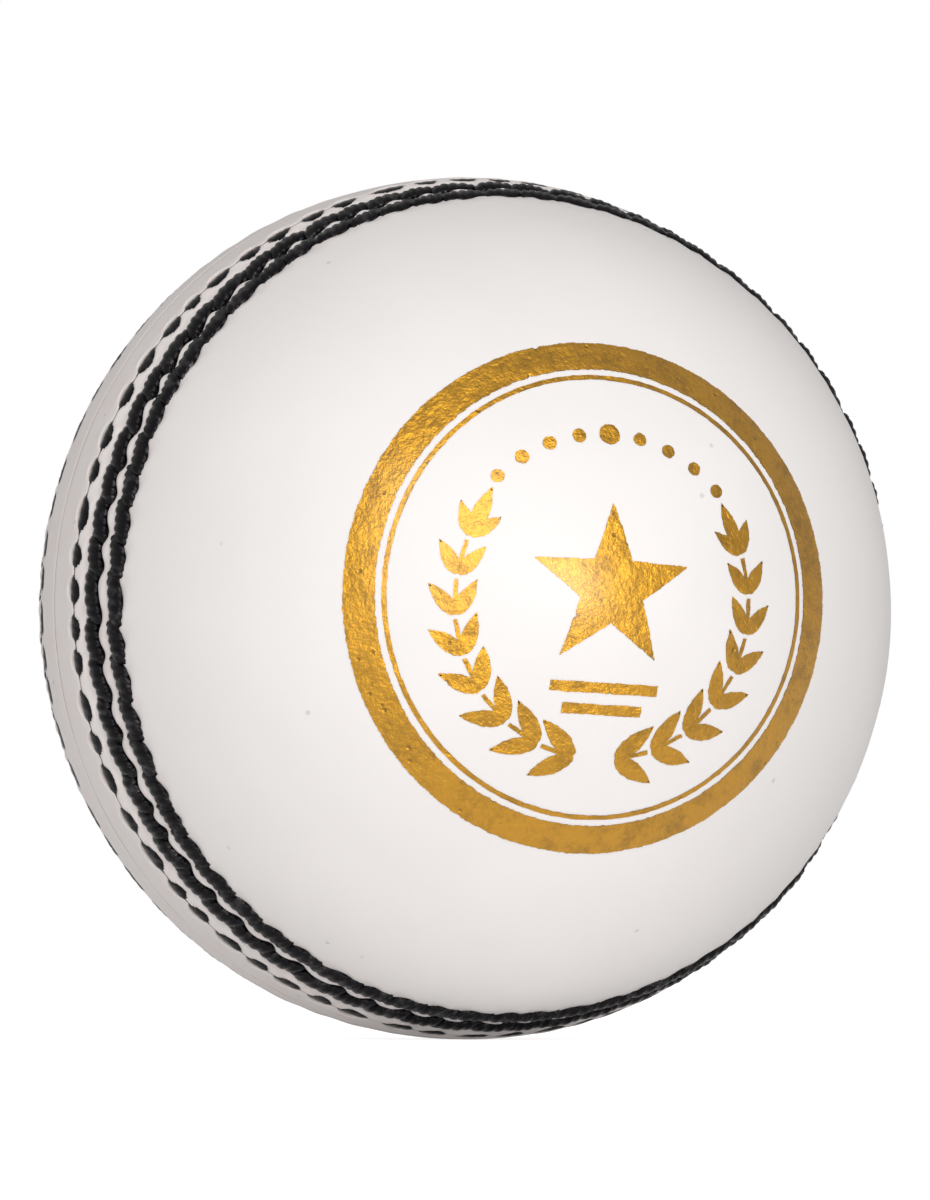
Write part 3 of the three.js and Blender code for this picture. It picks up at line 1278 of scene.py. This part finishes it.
class BALL_OT_windings(bpy.types.Operator):
    """Adds the three wound layers of yarn"""

    bl_idname = "ball.add_windings"
    bl_label = "Yarn Windings"

    def execute(self, context):
        core = context.scene.ball_core
        material = yarn_material(core)
        for layer in LAYERS:
            mesh = winding_mesh(layer, core)
            new_piece(f"wound_yarn_{layer}", mesh, material, [f"yarn_winding_{layer}"])
        return {"FINISHED"}


def cork_mesh(layer, strip, core):
    """One strip of cork between two meridians, with rounded edges."""
    node = f"cork_strip_{layer}_{strip}"
    outer, inner = radii(node)
    low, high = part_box(node)
    heading = math.atan2(low[2] + high[2], low[0] + high[0])
    spread = FULL_TURN / len(STRIPS)
    tip = math.acos(core.tip_radius / outer)
    outline = flat_arc(outer, -tip, tip, 24) + flat_arc(inner, tip, -tip, 20)
    bm = bmesh.new()
    bm.faces.new([bm.verts.new((radius, height, 0)) for radius, height in outline])
    bmesh.ops.rotate(bm, verts=bm.verts, cent=(0, 0, 0), matrix=Matrix.Rotation(spread / 2, 3, "Y"))
    bmesh.ops.spin(
        bm,
        geom=bm.verts[:] + bm.edges[:] + bm.faces[:],
        cent=(0, 0, 0),
        axis=(0, 1, 0),
        angle=-spread,
        steps=14,
    )
    bmesh.ops.recalc_face_normals(bm, faces=bm.faces)
    for vert in bm.verts:
        ring = math.hypot(vert.co.x, vert.co.z)
        share = math.atan2(vert.co.z, vert.co.x) / (spread / 2)
        turn = Matrix.Rotation(share * core.strip_gap / 2 / ring, 3, "Y")
        vert.co = turn @ vert.co
    sharp = [edge for edge in bm.edges if edge.calc_face_angle(0) > math.radians(40)]
    bmesh.ops.bevel(
        bm,
        geom=sharp,
        offset=core.edge_round,
        segments=2,
        profile=0.5,
        affect="EDGES",
        material=-1,
        clamp_overlap=True,
    )
    for vert in bm.verts:
        vert.co *= 1 - 0.006 * (0.5 + 0.5 * noise.noise(vert.co * 260))
    bmesh.ops.rotate(bm, verts=bm.verts, cent=(0, 0, 0), matrix=Matrix.Rotation(-heading, 3, "Y"))
    return as_mesh(f"cork_sheet_{layer}_{strip}", bm)


class BALL_OT_cork(bpy.types.Operator):
    """Adds the cork strips and the nucleus"""

    bl_idname = "ball.add_cork"
    bl_label = "Cork Strips"

    def execute(self, context):
        core = context.scene.ball_core
        material = cork_material("Sheet cork", core.cork_color, 700.0)
        for layer in LAYERS:
            for strip in STRIPS:
                mesh = cork_mesh(layer, strip, core)
                node = f"cork_strip_{layer}_{strip}"
                new_piece(f"cork_sheet_{layer}_{strip}", mesh, material, [node])

        bm = bmesh.new()
        bmesh.ops.create_icosphere(bm, subdivisions=5, radius=half_width("nucleus"))
        for vert in bm.verts:
            vert.co *= 0.985 + 0.012 * noise.noise(vert.co * 200)
        nucleus = cork_material("Cork and rubber", core.nucleus_color, 400.0)
        new_piece("cork_nucleus", as_mesh("cork_nucleus", bm), nucleus, ["nucleus"])
        return {"FINISHED"}


# ---------------------------------------------------------------- stage
FLOOR_REACH = 3.0
KEY_PLACE = (-0.28, -0.945, 0.22)
KEY_SIZE = 1.0
WINDOW_PLACE = (0.14, -0.99, 0.03)
WINDOW_SIZE = 0.3
CAMERA_SHIFT = 0.0072  # the ball stands a little under the middle of the picture


def area_light(name, place, size, power, color):
    """A soft square light, aimed at the ball."""
    light = bpy.data.lights.new(name, "AREA")
    light.size = size
    light.energy = power
    light.color = color
    lamp = bpy.data.objects.new(name, light)
    lamp.location = place
    lamp.rotation_euler = Vector(place).to_track_quat("Z", "Y").to_euler()
    bpy.context.scene.collection.objects.link(lamp)


def studio_world(level):
    """Even light from all round, which the camera sees as plain white."""
    world = bpy.data.worlds.new("Studio")
    world.use_nodes = True
    tree = world.node_tree
    tree.nodes.clear()
    seen = add_node(tree, "ShaderNodeBackground", {"Color": (1.0, 1.0, 1.0, 1.0), "Strength": 1.0})
    lit = add_node(tree, "ShaderNodeBackground", {"Color": (1.0, 0.985, 0.975, 1.0), "Strength": level})
    path = add_node(tree, "ShaderNodeLightPath")
    mix = add_node(
        tree,
        "ShaderNodeMixShader",
        {0: path.outputs["Is Camera Ray"], 1: lit.outputs[0], 2: seen.outputs[0]},
    )
    add_node(tree, "ShaderNodeOutputWorld", {"Surface": mix.outputs[0]})
    bpy.context.scene.world = world


def floor_material():
    """A plain white table, bright enough to run into the white behind it."""
    material, tree, shader = new_material("White table", roughness=0.9)
    where = object_coordinates(tree)
    tone = ramp(tree, noise_node(tree, where, 40.0, 2.0), 0.2, 0.8)
    white = mix_color(tree, tone, (0.9, 0.9, 0.9, 1.0), (0.93, 0.93, 0.93, 1.0))
    tree.links.new(white, shader.inputs["Base Color"])
    seen = add_node(tree, "ShaderNodeLightPath").outputs["Is Camera Ray"]
    glow = mix_color(tree, seen, (0.09, 0.09, 0.09, 1.0), (0.75, 0.75, 0.75, 1.0))
    tree.links.new(glow, shader.inputs["Emission Color"])
    shader.inputs["Emission Strength"].default_value = 1.0
    return material


def add_floor():
    """The table under the ball."""
    bm = bmesh.new()
    bmesh.ops.create_grid(bm, x_segments=2, y_segments=2, size=FLOOR_REACH)
    bmesh.ops.translate(bm, verts=bm.verts, vec=(0, 0, CAD_BOUNDS[0][2]))
    mesh = as_mesh("floor", bm)
    mesh.materials.append(floor_material())
    floor = bpy.data.objects.new("floor", mesh)
    bpy.context.scene.collection.objects.link(floor)


def add_camera(stage):
    """The camera, with the lens that makes the ball fill its share of the picture."""
    camera = bpy.data.cameras.new("camera")
    eye = bpy.data.objects.new("camera", camera)
    away = Vector((
        math.sin(stage.azimuth) * math.cos(stage.elevation),
        -math.cos(stage.azimuth) * math.cos(stage.elevation),
        math.sin(stage.elevation),
    ))
    eye.location = away * stage.distance
    eye.rotation_euler = away.to_track_quat("Z", "Y").to_euler()
    edge_slope = BALL_RADIUS / math.sqrt(stage.distance ** 2 - BALL_RADIUS ** 2)
    camera.lens = camera.sensor_width * stage.fill / 2 / edge_slope
    camera.shift_y = CAMERA_SHIFT
    bpy.context.scene.collection.objects.link(eye)
    bpy.context.scene.camera = eye


class BALL_OT_stage(bpy.types.Operator):
    """Adds the floor, the soft lights and the camera"""

    bl_idname = "ball.add_stage"
    bl_label = "Stage"

    def execute(self, context):
        stage = context.scene.ball_stage
        add_floor()
        area_light("key_light", KEY_PLACE, KEY_SIZE, stage.key_power, (1.0, 0.99, 0.985))
        area_light("window_light", WINDOW_PLACE, WINDOW_SIZE, stage.window_power, (1.0, 0.985, 0.96))
        studio_world(stage.fill_level)
        add_camera(stage)
        context.scene.view_settings.view_transform = "Standard"
        return {"FINISHED"}


# ---------------------------------------------------------------- panel and registration
OPERATORS = (
    BALL_OT_stage,
    BALL_OT_cover,
    BALL_OT_threads,
    BALL_OT_stamp,
    BALL_OT_windings,
    BALL_OT_cork,
)


class BALL_PT_panel(bpy.types.Panel):
    """Lists the ball's pieces in the order in which they are made"""

    bl_label = "Cricket Ball"
    bl_idname = "BALL_PT_panel"
    bl_space_type = "VIEW_3D"
    bl_region_type = "UI"
    bl_category = "Cricket Ball"

    def draw(self, context):
        for operator in OPERATORS:
            self.layout.operator(operator.bl_idname)
        for name, group in SETTINGS.items():
            box = self.layout.box()
            for setting in group.__annotations__:
                box.prop(getattr(context.scene, name), setting)


def register():
    for name, group in SETTINGS.items():
        bpy.utils.register_class(group)
        setattr(bpy.types.Scene, name, PointerProperty(type=group))
    for cls in (*OPERATORS, BALL_PT_panel):
        bpy.utils.register_class(cls)


def unregister():
    for cls in (BALL_PT_panel, *OPERATORS):
        bpy.utils.unregister_class(cls)
    for name, group in SETTINGS.items():
        delattr(bpy.types.Scene, name)
        bpy.utils.unregister_class(group)


def main():
    register()
    for operator in OPERATORS:
        category, action = operator.bl_idname.split(".")
        getattr(getattr(bpy.ops, category), action)()


if __name__ == "__main__":
    main()
